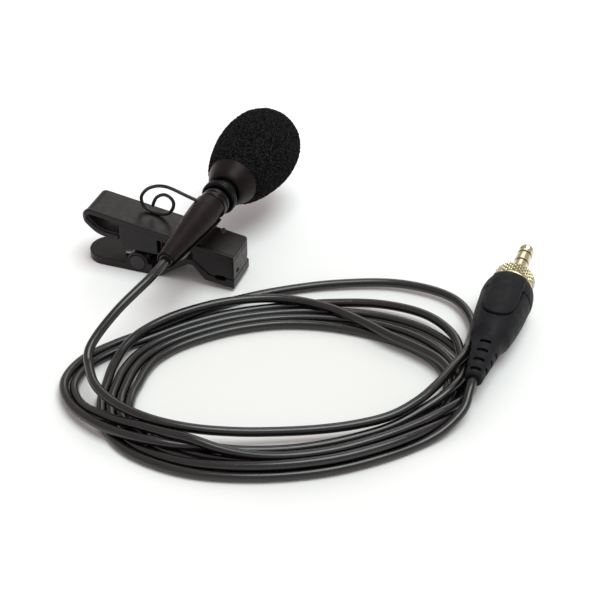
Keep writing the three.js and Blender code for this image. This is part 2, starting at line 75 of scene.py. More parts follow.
CAMERA_PLACE = (0.1251, -0.27405, 0.2)
CAMERA_TURN = (radians(54), 0, radians(19.5))
CAMERA_LENS, CAMERA_SENSOR = 90, 36
CAMERA_NEAREST = 0.01


def make_camera():
    data = bpy.data.cameras.new("camera")
    data.lens = CAMERA_LENS
    data.sensor_width = CAMERA_SENSOR
    data.clip_start = CAMERA_NEAREST
    camera = bpy.data.objects.new("camera", data)
    camera.location = CAMERA_PLACE
    camera.rotation_euler = CAMERA_TURN
    bpy.context.scene.collection.objects.link(camera)
    bpy.context.scene.camera = camera


make_camera()

# ---- meshes ----


def add_mesh(name, vertices, faces):
    mesh = bpy.data.meshes.new(name)
    mesh.from_pydata([tuple(v) for v in vertices], [], faces)
    made = bmesh.new()
    made.from_mesh(mesh)
    bmesh.ops.recalc_face_normals(made, faces=made.faces)
    made.to_mesh(mesh)
    made.free()
    obj = bpy.data.objects.new(name, mesh)
    bpy.context.scene.collection.objects.link(obj)
    return obj


def grid_faces(rows, columns, closed_rows=False):
    """Quads between rows of points, each row a closed ring."""
    faces = []
    for i in range(rows if closed_rows else rows - 1):
        here, there = i * columns, ((i + 1) % rows) * columns
        for k in range(columns):
            after = (k + 1) % columns
            faces.append((here + k, here + after, there + after, there + k))
    return faces


def lathe(name, profile, sides, bumps=None):
    """A round body about the Y axis from [radius, y] points, from back to front. A profile that ends
    where it starts is a ring; any other one is closed with flat ends. bumps gives an extra radius."""
    loop = profile[0] == profile[-1]
    points = profile[:-1] if loop else profile
    vertices = []
    for radius, y in points:
        for k in range(sides):
            angle = 2 * pi * k / sides
            r = radius + (bumps(angle, radius, y) if bumps else 0)
            vertices.append((r * cos(angle), y, r * sin(angle)))
    faces = grid_faces(len(points), sides, loop)
    if not loop:
        last = (len(points) - 1) * sides
        faces += [tuple(range(sides)), tuple(range(last, last + sides))]
    return add_mesh(name, vertices, faces)


def prism(name, outline, low, high, place):
    """An outline, pushed from low to high. place makes a point from the outline's pair and the height."""
    n = len(outline)
    vertices = [place(a, b, h) for h in (low, high) for a, b in outline]
    faces = [(i, (i + 1) % n, (i + 1) % n + n, i + n) for i in range(n)]
    return add_mesh(name, vertices, faces + [tuple(range(n)), tuple(range(n, 2 * n))])


def slab(outline, near, far):
    """An outline of [x, z] points, from near to far along Y."""
    return prism("slab", outline, near, far, lambda x, z, y: (x, y, z))


def plate(outline, low, high):
    """An outline of [x, y] points, from low to high."""
    return prism("plate", outline, low, high, lambda x, y, z: (x, y, z))


def block(x0, x1, y0, y1, z0, z1):
    return plate([(x0, y0), (x1, y0), (x1, y1), (x0, y1)], z0, z1)


def arc(x, y, radius, start, end, steps):
    turn = [radians(start + (end - start) * i / steps) for i in range(steps + 1)]
    return [(x + radius * cos(a), y + radius * sin(a)) for a in turn]


def across(x, z, radius, near, far, sides=64):
    """A cylinder across the clip, along Y."""
    return slab(arc(x, z, radius, 0, 360 - 360 / sides, sides - 1), near, far)


def rounded(outline, radius, steps, loop=True):
    """The outline with its corners rounded. A corner may give its own radius as a third number."""
    result = [] if loop else [tuple(outline[0][:2])]
    corners = range(len(outline)) if loop else range(1, len(outline) - 1)
    for i in corners:
        before, here, after = (Vector(outline[k % len(outline)][:2]) for k in (i - 1, i, i + 1))
        reach = outline[i][2] if len(outline[i]) > 2 else radius
        reach = min(reach, (before - here).length * 0.45, (after - here).length * 0.45)
        first = here + (before - here).normalized() * reach
        last = here + (after - here).normalized() * reach
        for k in range(steps + 1):
            t = k / steps
            result.append(tuple(first.lerp(here, t).lerp(here.lerp(last, t), t)))
    return result if loop else result + [tuple(outline[-1][:2])]


def rounded_ring(profile, radius):
    """A closed profile with its corners rounded, for lathe()."""
    result = rounded(profile[:-1], radius, 4)
    return result + [result[0]]


def ribbon(path, thick):
    """The outline of a strip of the given thickness along a path of [x, z] points."""
    sides = ([], [])
    for i, point in enumerate(path):
        here = Vector(point)
        along = Vector(path[min(i + 1, len(path) - 1)]) - Vector(path[max(i - 1, 0)])
        out = Vector((-along.y, along.x)).normalized() * thick / 2
        sides[0].append(tuple(here + out))
        sides[1].append(tuple(here - out))
    return sides[0] + sides[1][::-1]


def between(a, b, c, d, f):
    """The value at the share f of the way from b to c, on a smooth curve through a, b, c and d."""
    third = 3 * (b - c) + d - a
    second = 2 * a - 5 * b + 4 * c - d + f * third
    return b + 0.5 * f * (c - a + f * second)


def curve_through(points, step):
    """Points a step apart on a smooth curve through the given ones."""
    p = np.array(points, float)
    p = np.vstack([2 * p[0] - p[1], p, 2 * p[-1] - p[-2]])
    shares = np.linspace(0, 1, 16, endpoint=False)
    fine = [between(*four, f) for four in zip(p, p[1:], p[2:], p[3:]) for f in shares]
    fine = np.array(fine + [p[-2]])
    travelled = np.concatenate([[0], np.cumsum(np.linalg.norm(np.diff(fine, axis=0), axis=1))])
    stops = np.linspace(0, travelled[-1], int(round(travelled[-1] / step)) + 1)
    return np.stack([np.interp(stops, travelled, fine[:, k]) for k in range(3)], 1)


def smooth_outline(points, step, grow=0):
    """Outline points a step apart on a smooth curve through [radius, y] points, grown outwards."""
    curve = curve_through([(radius, y, 0) for radius, y in points], step)
    return [(float(radius) + grow, float(y)) for radius, y, _ in curve]


def tube(name, path, radius, sides):
    """A round tube along points, with closed ends. radius is a number, or one for each point."""
    path = [Vector(p) for p in path]
    radii = radius if hasattr(radius, "__len__") else [radius] * len(path)
    vertices = []
    side = None
    for i, point in enumerate(path):
        along = (path[min(i + 1, len(path) - 1)] - path[max(i - 1, 0)]).normalized()
        if side is None:
            side = along.orthogonal().normalized()
        side = (side - along * side.dot(along)).normalized()
        up = along.cross(side)
        for k in range(sides):
            angle = 2 * pi * k / sides
            vertices.append(point + radii[i] * (side * cos(angle) + up * sin(angle)))
    last = (len(path) - 1) * sides
    faces = grid_faces(len(path), sides) + [tuple(range(sides)), tuple(range(last, last + sides))]
    return add_mesh(name, vertices, faces)


# ---- changes to meshes ----


def bake(obj):
    """Puts the result of the object's modifiers into its mesh."""
    graph = bpy.context.evaluated_depsgraph_get()
    mesh = bpy.data.meshes.new_from_object(obj.evaluated_get(graph))
    obj.modifiers.clear()
    obj.data = mesh
    return obj


def discard(obj):
    bpy.data.objects.remove(obj)


def combine(target, tool, operation):
    step = target.modifiers.new("step", "BOOLEAN")
    step.operation = operation
    step.solver = "EXACT"
    step.object = tool
    bake(target)
    discard(tool)
    return target


def cut(target, *tools):
    for tool in tools:
        combine(target, tool, "DIFFERENCE")
    return target


def within(target, tool):
    return combine(target, tool, "INTERSECT")


def join(target, *others):
    """One mesh of several closed ones. soften() merges them where they overlap."""
    made = bmesh.new()
    for obj in (target, *others):
        made.from_mesh(obj.data)
    made.to_mesh(target.data)
    made.free()
    for obj in others:
        discard(obj)
    return target


VOXEL, CLIP_VOXEL, BOOT_VOXEL = 0.12, 0.115, 0.1  # how fine soften() works, in mm


def soften(obj, voxel, rounds):
    """Merges and rounds off a moulded piece, as a mould's radii do."""
    grid = obj.modifiers.new("grid", "REMESH")
    grid.mode = "VOXEL"
    grid.voxel_size = voxel
    blur = obj.modifiers.new("blur", "SMOOTH")
    blur.factor = 0.5
    blur.iterations = rounds
    return bake(obj)


def shade(obj, angle=None):
    obj.data.polygons.foreach_set("use_smooth", [True] * len(obj.data.polygons))
    if angle is not None:
        obj.data.set_sharp_from_angle(angle=radians(angle))


def piece(obj, name, place, body, slot, *nodes, angle=None):
    """Puts a finished piece in the model's frame, with its body, its finish and what it stands for."""
    obj.name = name
    obj.data.name = name
    obj.data.transform(TO_METRES @ place)
    shade(obj, angle)
    obj.data.materials.clear()
    obj.data.materials.append(MATERIALS[slot])
    if nodes:
        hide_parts(*nodes)
    if body:
        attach(obj, body)
    return obj


# ---- materials ----

GLOSS_SIZE = 1.3  # of the patches of uneven gloss, in mm
NOISE_RANGE = (0.3, 0.7)  # what the noise stays within nearly everywhere
GROOVE_SHADE_RANGE = (0.46, 0.5)  # pointiness at the bottom of a groove and on a plain surface: the painted groove shade is full at the first and gone at the second


def cloud(tree, size, detail):
    """Noise in the object's own space, with patches of the given size in mm."""
    place = tree.nodes.new("ShaderNodeTexCoord")
    texture = tree.nodes.new("ShaderNodeTexNoise")
    texture.inputs["Scale"].default_value = 1 / (size * MM)
    texture.inputs["Detail"].default_value = detail
    tree.links.new(place.outputs["Object"], texture.inputs["Vector"])
    return texture.outputs["Fac"]


def ramp(tree, value, positions, colours):
    """A colour for each value, between two colours at two positions."""
    made = tree.nodes.new("ShaderNodeValToRGB")
    for stop, position, colour in zip(made.color_ramp.elements, positions, colours):
        stop.position = position
        stop.color = (*colour, 1)
    tree.links.new(value, made.inputs["Fac"])
    return made.outputs["Color"]


# Painted shade: the colour is multiplied down at the bottom of fine grooves, where shade falls.
def paint_groove_shade(tree, colour, groove_shade):
    shape = tree.nodes.new("ShaderNodeNewGeometry")
    shade_of = ramp(tree, shape.outputs["Pointiness"], GROOVE_SHADE_RANGE, (groove_shade, (1, 1, 1)))
    shaded = tree.nodes.new("ShaderNodeVectorMath")
    shaded.operation = "MULTIPLY"
    tree.links.new(colour, shaded.inputs[0])
    tree.links.new(shade_of, shaded.inputs[1])
    return shaded.outputs["Vector"]


def material(
    name, colour, tint, rough, grain, metal=0, specular=0.5, dapple=4, spread=(0.35, 0.7), groove_shade=None,
):
    """A finish of two near colours in soft patches, with fine grain and uneven gloss.

    tint is the colour of the patches, dapple their size in mm and spread how sharply they end. rough
    is the (least, greatest) roughness, and grain is (size in mm, depth in mm). The last argument is
    painted shade: what the colour is multiplied by at the bottom of fine grooves, where shade falls.
    """
    made = bpy.data.materials.new(name)
    made.use_nodes = True
    tree = made.node_tree
    shader = tree.nodes["Principled BSDF"]
    shader.inputs["Metallic"].default_value = metal
    shader.inputs["Specular IOR Level"].default_value = specular

    shown = ramp(tree, cloud(tree, dapple, 3), spread, (colour, tint))
    # Painted shade at the bottom of fine grooves, for finishes that ask for it.
    if groove_shade:
        shown = paint_groove_shade(tree, shown, groove_shade)
    tree.links.new(shown, shader.inputs["Base Color"])

    gloss = tree.nodes.new("ShaderNodeMapRange")
    for socket, value in zip(("From Min", "From Max", "To Min", "To Max"), (*NOISE_RANGE, *rough)):
        gloss.inputs[socket].default_value = value
    tree.links.new(cloud(tree, GLOSS_SIZE, 4), gloss.inputs["Value"])
    tree.links.new(gloss.outputs["Result"], shader.inputs["Roughness"])

    size, depth = grain
    bump = tree.nodes.new("ShaderNodeBump")
    bump.inputs["Strength"].default_value = 1
    bump.inputs["Distance"].default_value = depth * MM
    tree.links.new(cloud(tree, size, 3), bump.inputs["Height"])
    tree.links.new(bump.outputs["Normal"], shader.inputs["Normal"])
    return made


FINISHES = {
    "foam": dict(
        colour=(0.0015, 0.0015, 0.0015), tint=(0.0215, 0.0205, 0.022), rough=(0.9, 1), grain=(0.4, 0.25),
        specular=0.05, dapple=0.4, spread=(0.45, 0.64),
    ),
    "clip_plastic": dict(
        colour=(0.0072, 0.005, 0.0052), tint=(0.0092, 0.0068, 0.0069), rough=(0.28, 0.42),
        grain=(0.22, 0.014), specular=0.26,
    ),
    "sleeve_plastic": dict(
        colour=(0.0078, 0.0045, 0.0042), tint=(0.011, 0.0066, 0.0062), rough=(0.28, 0.48),
        grain=(0.25, 0.016), specular=0.11,
    ),
    "collar_plastic": dict(
        colour=(0.003, 0.003, 0.0034), tint=(0.005, 0.005, 0.006), rough=(0.06, 0.16),
        grain=(0.9, 0.035), specular=0.14,
    ),
    "dark_metal": dict(
        colour=(0.024, 0.02, 0.022), tint=(0.034, 0.028, 0.031), rough=(0.28, 0.4),
        grain=(0.12, 0.004), metal=0.4, specular=0.4,
    ),
    "steel": dict(
        colour=(0.5, 0.5, 0.52), tint=(0.56, 0.56, 0.57), rough=(0.25, 0.35), grain=(0.3, 0.003), metal=1,
    ),
    "cable_rubber": dict(
        colour=(0.0036, 0.003, 0.003), tint=(0.0085, 0.0073, 0.0071), rough=(0.17, 0.29),
        grain=(0.6, 0.004), specular=0.6, dapple=9,
    ),
    "plug_rubber": dict(
        colour=(0.005, 0.005, 0.0066), tint=(0.0078, 0.0078, 0.0098), rough=(0.5, 0.7),
        grain=(0.15, 0.012), specular=0.18,
    ),
    "insulator": dict(
        colour=(0.006, 0.006, 0.006), tint=(0.009, 0.009, 0.009), rough=(0.3, 0.4), grain=(0.3, 0.004),
    ),
    "circuit_board": dict(
        colour=(0.02, 0.1, 0.04), tint=(0.03, 0.13, 0.05), rough=(0.45, 0.6), grain=(0.4, 0.01),
    ),
    "gold": dict(
        colour=(0.56, 0.51, 0.33), tint=(0.66, 0.61, 0.42), rough=(0.1, 0.2), grain=(0.5, 0.003),
        # painted shade in the knurl's grooves, where the gold is shaded
        metal=1, groove_shade=(0.1, 0.085, 0.06),
    ),
}
MATERIALS = {name: material(name, **finish) for name, finish in FINISHES.items()}


def finish_cad_nodes():
    """The inner pieces keep their CAD shape and get the finishes above."""
    for part in frame["record"]["subparts"]:
        obj = frame["nodes"][part["node"]]
        obj.data.materials.clear()
        obj.data.materials.append(MATERIALS[part["material_slot"]])


finish_cad_nodes()

# ---- the cable ----

CABLE_RADIUS = 1
COIL_CENTRE = (40.4, -43.1)
COIL_LONG, COIL_SHORT, COIL_TILT = 37.5, 23.5, radians(19.5)
LEAD = [
    (9, -28.5, 15.7), (8.8, -32, 15.65), (8.1, -35.8, 15.2), (6.8, -39.6, 14.3), (5.2, -43.4, 12.9),
    (3.7, -47, 11.1), (2.5, -50.4, 9.2), (2.1, -53.4, 7.6),
]
# For each turn, at eight places from its left end round by the front: how far the cable stands
# outside the coil's middle ellipse, and its height.
TURNS = [
    ([1.8, -1.4, -6.2, -5.2, -1, 18.2, 10, 2], [6.2, 4.9, 3, 3.2, 4.6, 2.2, 1.1, 1.1]),
    ([7.2, 3, -2.6, -4.2, 0.9, 8, 3.7, 0], [1.8, 2.9, 1.1, 1.1, 2.9, 2.8, 1.1, 1.1]),
    ([5.2, 0.6, 1, -0.6, 2.4, 5, 1.7, -1.5], [1.1, 2.9, 2.8, 2.8, 1.1, 1.1, 1.1, 1.1]),
    ([-3.7, 2.9, 3.4, 1.1, 0.8, 1.6, -0.4, -3.6], [1.1, 1.1, 2.8, 2.8, 1.1, 1.1, 1.1, 1.1]),
    ([-5.6, 0.8, 0.2, -2.1, -1.3, -2.3, -2.5, -5.9], [1.1, 1.1, 1.1, 1.1, 1.1, 1.1, 1.1, 1.1]),
    ([-7.7, 1, 2.4, 0, -1.2, -3.4, 4.2, 1.8], [1.1, 1.1, 1.1, 1.1, 2.9, 2.9, 3.1, 3]),
    ([-1.7, 5, 4.5, 2.2], [1.1, 1.1, 1.1, 1.1]),
]
TAIL = [(79, -41.6, 3), (79.6, -38, 4.7), (79.6, -35.6, 5.6), (79.6, -33.5, 5.9)]
# Radius of the plug along its axis, which the cable has to stay clear of.
PLUG_OUTLINE = [
    (-34.5, 1.9), (-34, 2), (-21.5, 3.3), (-21.4, 3.5), (-19.3, 4.3), (-15.5, 5), (-11, 5.5), (-6, 5.75),
    (0, 5.85),
]
CABLE_STEP = 1.5  # between the points that settle
CABLE_FINE_STEP, CABLE_SIDES = 0.8, 16
FIXED_POINTS = 6  # at each end, which stay where they are
TAIL_POINTS = 30  # the last ones, which lead into the plug and aren't pushed off it
OWN_REACH = 10  # points nearer than this along the cable don't push each other
STRAND_GAP, PLUG_GAP, TABLE_GAP = 0.06, 0.15, 0.02
# In each round a point that is raised by more than SLACK sinks by SINK.
SETTLE_ROUNDS, SINK, SLACK, STIFFNESS = 120, 0.01, 0.05, 0.6
TINY = 1e-6
PLACES, POINTS_PER_PLACE = 8, 3


def smooth_value(values, at):
    i = floor(at)
    a, b, c, d = (values[min(max(k, 0), len(values) - 1)] for k in (i - 1, i, i + 1, i + 2))
    return between(a, b, c, d, at - i)


def coil_points():
    """Points along the turns, a few for each place in TURNS."""
    offsets = [value for turn, _ in TURNS for value in turn]
    heights = [value for _, turn in TURNS for value in turn]
    points = []
    for j in range((len(offsets) - 1) * POINTS_PER_PLACE + 1):
        at = j / POINTS_PER_PLACE
        angle = pi + at * 2 * pi / PLACES
        offset = smooth_value(offsets, at)
        x = (COIL_LONG + offset) * cos(angle)
        y = (COIL_SHORT + offset) * sin(angle)
        points.append((
            COIL_CENTRE[0] + x * cos(COIL_TILT) - y * sin(COIL_TILT),
            COIL_CENTRE[1] + x * sin(COIL_TILT) + y * cos(COIL_TILT),
            smooth_value(heights, at),
        ))
    return points


def push_apart(path, strangers):
    """How each point moves out of the points of other turns that it is too near to."""
    apart = 2 * CABLE_RADIUS + STRAND_GAP
    away = path[:, None, :] - path[None, :, :]
    distance = np.sqrt((away ** 2).sum(2))
    i, j = np.where(strangers & (distance < apart))
    gap = distance[i, j][:, None] + TINY
    push = 0.5 * (apart - gap) * away[i, j] / gap
    move = np.zeros_like(path)
    count = np.zeros(len(path))
    np.add.at(move, i, push)
    np.add.at(move, j, -push)
    np.add.at(count, i, 1)
    np.add.at(count, j, 1)
    return move / np.maximum(count, 1)[:, None]


def push_off_plug(path):
    """How each point moves out of the plug, square to the plug's axis."""
    stations, radii = zip(*PLUG_OUTLINE)
    radius = np.interp(path[:, 1], stations, radii) * (path[:, 1] > stations[0] - 0.1)
    off_x, off_z = path[:, 0] - PLUG.x, path[:, 2] - PLUG.z
    off = np.hypot(off_x, off_z) + TINY
    clear = CABLE_RADIUS + PLUG_GAP
    need = np.maximum(radius + clear - off, 0) * (radius > 0)
    return np.stack([need * off_x / off, np.zeros(len(path)), need * off_z / off], 1)


def smooth_shift(shift):
    """How each point moves to be shifted as much as the two beside it."""
    move = np.zeros_like(shift)
    move[1:-1] = 0.5 * (shift[:-2] + shift[2:]) - shift[1:-1]
    return STIFFNESS * move


def settle(rest):
    """Lets the turns rest on and beside each other: each point moves out of its neighbours, out of
    the plug and up off the table, and the cable stays smooth."""
    order = np.arange(len(rest))
    strangers = (order[:, None] - order[None, :]) > int(OWN_REACH / CABLE_STEP)
    free = ((order >= FIXED_POINTS) & (order < len(rest) - FIXED_POINTS))[:, None]
    by_plug = free & (order < len(rest) - TAIL_POINTS)[:, None]
    path = rest.copy()
    for _ in range(SETTLE_ROUNDS):
        path = path + free * push_apart(path, strangers)
        path = path + by_plug * push_off_plug(path)
        path = path + free * smooth_shift(path - rest)
        sunk = path[:, 2] - SINK * (path[:, 2] > rest[:, 2] + SLACK)
        path[:, 2] = np.where(free[:, 0], np.maximum(sunk, CABLE_RADIUS + TABLE_GAP), path[:, 2])
    return path


CABLE_PATH = settle(curve_through(LEAD + coil_points() + TAIL, CABLE_STEP)) + np.array(SHIFT)


def cable():
    path = curve_through(CABLE_PATH, CABLE_FINE_STEP)
    cord = tube("cable", path, CABLE_RADIUS, CABLE_SIDES)
    nodes = ("cable_lead", "cable_coil", "cable_tail")
    piece(cord, "cable", Matrix.Identity(4), None, "cable_rubber", *nodes, angle=60)
    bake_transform(cord)
    return cord, path * MM


cable_piece, cable_path = cable()

# ---- the microphone, about its own axis ----

FOAM_BACK, FOAM_BORE, FOAM_BORE_END = 7.1, 3.1, 18
FOAM_STEP, FOAM_SIDES = 0.15, 400
SLIT_TURN = Matrix.Rotation(radians(12), 4, "Y")
SLIT_HALF = 0.65
GUIDE_RADIUS, GUIDE_Y = 0.4, -8
GUIDE_ROUTE = [
    (-1.6, 2.9), (-4.6, 3.7), (-7.8, 4.6), (-10, 4.9), (-12.4, 4.4), (-14.7, 3), (-16.2, 0.7),
    (-15.8, -1.5), (-14, -2.6), (-11.7, -2.9), (-9.6, -2.3), (-8.3, -0.7), (-8, 1.1), (-8.9, 2.3),
    (-10.4, 2.6), (-12.1, 1.6), (-13, 0.1), (-13.4, -1.2),
]


def foam_relief(point):
    """How far the foam's open surface stands out at a point, by noise of two sizes."""
    coarse = noise.noise(point * 1.3)
    middling = noise.noise(point * 2.4 + Vector((7, 3, 5)))
    return 0.12 * coarse + 0.17 * middling - 0.05


def foam():
    """The foam windshield: an egg shape, rough all over, with a blind bore over the capsule."""
    outside = [
        (6, FOAM_BACK), (6.95, 8.4), (7.75, 10.5), (8.7, 14), (9.4, 18), (9.6, 21.8), (9.2, 26),
        (8.4, 28.6), (7.2, 30.7), (5.4, 32.4), (3, 33.5), (0.02, 33.9),
    ]
    bore = [(0.02, FOAM_BORE_END), (FOAM_BORE, FOAM_BORE_END), (FOAM_BORE, FOAM_BACK)]
    shape = lathe("foam", bore + smooth_outline(outside, FOAM_STEP), FOAM_SIDES)
    normals = [v.normal.copy() for v in shape.data.vertices]
    for vertex, normal in zip(shape.data.vertices, normals):
        x, y, z = vertex.co
        if hypot(x, z) < FOAM_BORE + 0.2 and y < FOAM_BORE_END + 0.2:
            continue
        fade = min(1, max(0, (y - FOAM_BACK - 0.1) / 0.8))
        vertex.co += normal * fade * foam_relief(vertex.co)
    piece(shape, "foam", MIC_FRAME, "windshield", "foam", "foam_windshield")


def windshield_base():
    profile = [
        (3.1, 2.8), (3.55, 2.5, 0.2), (3.95, 2.6, 0.2), (4.5, 3.3, 0.4), (5.25, 5, 0.8), (5.85, 6.6, 0.4),
        (6, 7), (3.1, 7), (3.1, 2.8),
    ]
    ring = lathe("base", rounded_ring(profile, 0.08), 160)
    piece(ring, "windshield_cone", MIC_FRAME, "windshield", "sleeve_plastic", "windshield_base")


def collars():
    for name, outer, back, front, node in (
        ("collar_rear", 3.4, -5.1, -1.7, "collar_rear_ring"),
        ("collar_front", 4.2, -1.4, 0.5, "collar_front_ring"),
    ):
        middle = (back + front) / 2
        profile = [
            (2.8, back), (outer - 0.35, back, 0.2), (outer, back + 0.4, 0.3), (outer, middle - 0.25, 0.1),
            (outer - 0.22, middle, 0.2), (outer, middle + 0.25, 0.1), (outer, front - 0.4, 0.3),
            (outer - 0.35, front, 0.2), (2.8, front), (2.8, back),
        ]
        ring = lathe(name, rounded_ring(profile, 0.05), 128)
        piece(ring, name, MIC_FRAME, "upper_clip", "collar_plastic", node)


def sleeve():
    """The clip's holder: a slit sleeve that tapers towards the cable, on a saddle. The slit is wider
    at the collars."""
    outside = [
        (0.01, -28.5), (1.9, -28.5), (2.1, -28.3), (2.3, -26), (2.85, -20), (3.3, -15), (3.52, -12),
        (3.7, -9), (3.72, -5.8), (3.6, -5.5), (3.35, -5.4), (0.01, -5.4),
    ]
    shell = lathe("sleeve", outside, 128)
    bore = lathe("bore", [(0.01, -30), (1.6, -30), (1.6, -24.5), (2.4, -19), (2.5, 0), (0.01, 0)], 96)
    saddle_bore = lathe("bore", [(0.01, -30), (2.5, -30), (2.5, 0), (0.01, 0)], 96)
    slit = block(0, 5, -30, -2, -SLIT_HALF, SLIT_HALF)
    flare = [(-11, 0.6), (-5, 1.7), (-5, -1.7), (-11, -0.6)]
    mouth = prism("mouth", flare, 2, 5, lambda y, z, x: (x, y, z))
    for opening in (slit, mouth):
        opening.data.transform(SLIT_TURN)
    cut(shell, bore, slit, mouth)
    seat = [(-2.6, -5), (1.6, -5.65), (1.4, -2.6), (-1.9, -2.6)]
    saddle = cut(slab(seat, -13.4, -5.6), saddle_bore)
    soften(join(shell, saddle), VOXEL, 5)
    piece(shell, "sleeve", MIC_FRAME, "upper_clip", "sleeve_plastic", "mic_sleeve")


def cable_guide():
    """One bent wire with a rounded end."""
    route = curve_through([(x, GUIDE_Y, z) for x, z in GUIDE_ROUTE], 0.25)
    radii = [GUIDE_RADIUS] * (len(route) - 2) + [0.36, 0.22]
    wire = tube("wire", route, radii, 16)
    piece(wire, "cable_guide", MIC_FRAME, "upper_clip", "dark_metal", "cable_guide_wire", angle=50)


def capsule():
    profile = [(2.35, -5), (2.75, -5), (2.75, 16), (2.35, 16), (2.35, -5)]
    housing = lathe("housing", rounded_ring(profile, 0.12), 96)
    piece(housing, "capsule_tube", MIC_FRAME, "upper_clip", "dark_metal", "capsule_housing")


def mic_cable():
    """The boot in the sleeve, and the cable inside it."""
    profile = [
        (1.02, -28.5), (1.5, -28.5), (1.5, -25.5), (2.1, -18.5), (2.2, -3.6), (1.02, -3.6), (1.02, -28.5),
    ]
    boot = lathe("boot", rounded_ring(profile, 0.15), 64)
    piece(boot, "mic_boot", MIC_FRAME, "upper_clip", "cable_rubber", "mic_rear_boot")
    inner = lathe("inner", [(0.95, -28.6), (1, -28.5), (1, 2), (0.95, 2.1)], 48)
    piece(inner, "mic_cable", MIC_FRAME, "upper_clip", "cable_rubber", "inner_cable", angle=40)


foam()
windshield_base()
collars()
sleeve()
cable_guide()
capsule()
mic_cable()

# ---- the clip ----

NEAR, FAR = -14, -4.4  # the clip's two sides
TIP, HEEL = 18.9, -19.3  # its jaw end and its finger end
PIN = (-5.1, 2.7)
PIN_HOLE, HEAD_SEAT, SPRING_ROOM = 0.85, 1.97, 4.2  # radii round the pin
KNUCKLE_RADIUS, KNUCKLE_INSET = 1.9, 2.2
EAR_RADIUS, EAR_THICK = 2.6, 1.9
STRIP_BACK, STRIP_HEIGHT, STRIP_SLOPE, STRIP_THICK = -15.6, 14.4, 0.15362, 0.9
BITE, BITE_GAP = 3.1, 0.1  # the height at which the jaws meet, and each jaw's share of the gap
TEETH, TOOTH_PITCH, TOOTH = 5, 0.95, 0.4


def strip_top(x):
    return STRIP_HEIGHT - STRIP_SLOPE * (x - STRIP_BACK)


def under_strip(x):
    return strip_top(x) - STRIP_THICK - 0.02


def rib(x, y0, y1, z, radius):
    """A small rounded rib along Y."""
    return slab(arc(x, z, radius, 0, 345, 23), y0, y1)


def rounded_corners():
    """The clip's outline from above, as a block to trim its upper pieces with."""
    tip, near, far = TIP + 0.02, NEAR - 0.2, FAR + 0.2
    outline = [(HEEL, near, 3), (tip, near, 0.6), (tip, far, 1.6), (HEEL, far, 3)]
    return plate(rounded(outline, 0, 10), 0, 20)


def spring_strip():
    """The bent top strip: a long leg, a round nose at the finger end and a short lower leg, with a
    rolled edge along its near side and two ribs on its far edge."""
    middle = STRIP_THICK / 2
    path = rounded([
        (TIP, strip_top(TIP) - middle), (-17.1, strip_top(-17.1) - middle, 2.2), (-18.3, 12.2, 1.9),
        (-14.6, 8.8, 2), (-9.5, 8.45),
    ], 1.2, 10, loop=False)
    strip = slab(ribbon(path, STRIP_THICK), NEAR, FAR)
    rolled = slab(ribbon(path, STRIP_THICK + 0.4), NEAR, NEAR + 0.8)
    bumps = [rib(x, FAR - 1.3, FAR, strip_top(x) - 0.1, 0.5) for x in (10.6, 12.9)]
    join(strip, rolled, *bumps)
    soften(strip, VOXEL, 2)
    within(strip, rounded_corners())
    soften(strip, CLIP_VOXEL, 5)
    piece(strip, "top_strip", LAYOUT, "upper_clip", "clip_plastic", "spring_strip")


def bite_line(height):
    """The teeth, from the jaw's end inwards."""
    points = []
    for i in range(TEETH):
        points += [(TIP - i * TOOTH_PITCH, height), (TIP - (i + 0.5) * TOOTH_PITCH, height + TOOTH)]
    return points + [(TIP - TEETH * TOOTH_PITCH, height)]


def jaw_hole():
    middle = TIP - 3.3
    outline = arc(middle + 0.8, BITE, 0.6, -90, 90, 10) + arc(middle - 0.8, BITE, 0.6, 90, 270, 10)
    return slab(outline, NEAR - 1, FAR + 1)


def pin_hole():
    return across(*PIN, PIN_HOLE, NEAR - 1, FAR + 1)


def spring_room():
    return across(*PIN, SPRING_ROOM, -10.9, -7.5)


def head_seat():
    return across(*PIN, HEAD_SEAT, NEAR - 1, NEAR + 0.5)


def upper_jaw():
    """Hinge block, spine under the strip and the upper jaw, in one moulding."""
    outline = [
        (-9.2, 6), (-9.2, under_strip(-9.2)), (TIP, under_strip(TIP)), *bite_line(BITE + BITE_GAP),
        (12.9, BITE + 0.5), (8.9, 6.8), (8.9, under_strip(8.9) - 1.1), (1.4, under_strip(1.4) - 1.1),
        (1.4, 6),
    ]
    jaw = slab(outline, NEAR, FAR)
    near, far = NEAR + KNUCKLE_INSET, FAR - KNUCKLE_INSET
    knuckle = across(*PIN, KNUCKLE_RADIUS, near, far)
    lug = block(PIN[0] - KNUCKLE_RADIUS, PIN[0] + KNUCKLE_RADIUS, near, far, PIN[1], 6.5)
    for part in (knuckle, lug):
        cut(part, spring_room(), pin_hole())
    leg_room = block(-16, PIN[0], -9.2, -8, 3, 7.2)
    end_groove = block(0.2, 1.1, NEAR - 1, NEAR + 2.6, 6.6, 9.9)
    front_notch = block(-10, -8.7, NEAR - 1, NEAR + 2.4, 4.9, 6.9)
    end_slot = block(TIP - 0.9, TIP + 1, -12.2, -10.9, 4.1, 5)
    end_notch = block(TIP - 1.3, TIP + 1, FAR - 1.1, FAR + 1, BITE - 1, 4.6)
    cut(jaw, spring_room(), leg_room, jaw_hole(), end_groove, front_notch, end_slot, end_notch)
    within(jaw, rounded_corners())
    soften(join(jaw, knuckle, lug), CLIP_VOXEL, 4)
    piece(jaw, "jaw_upper", LAYOUT, "upper_clip", "clip_plastic", "upper_jaw")


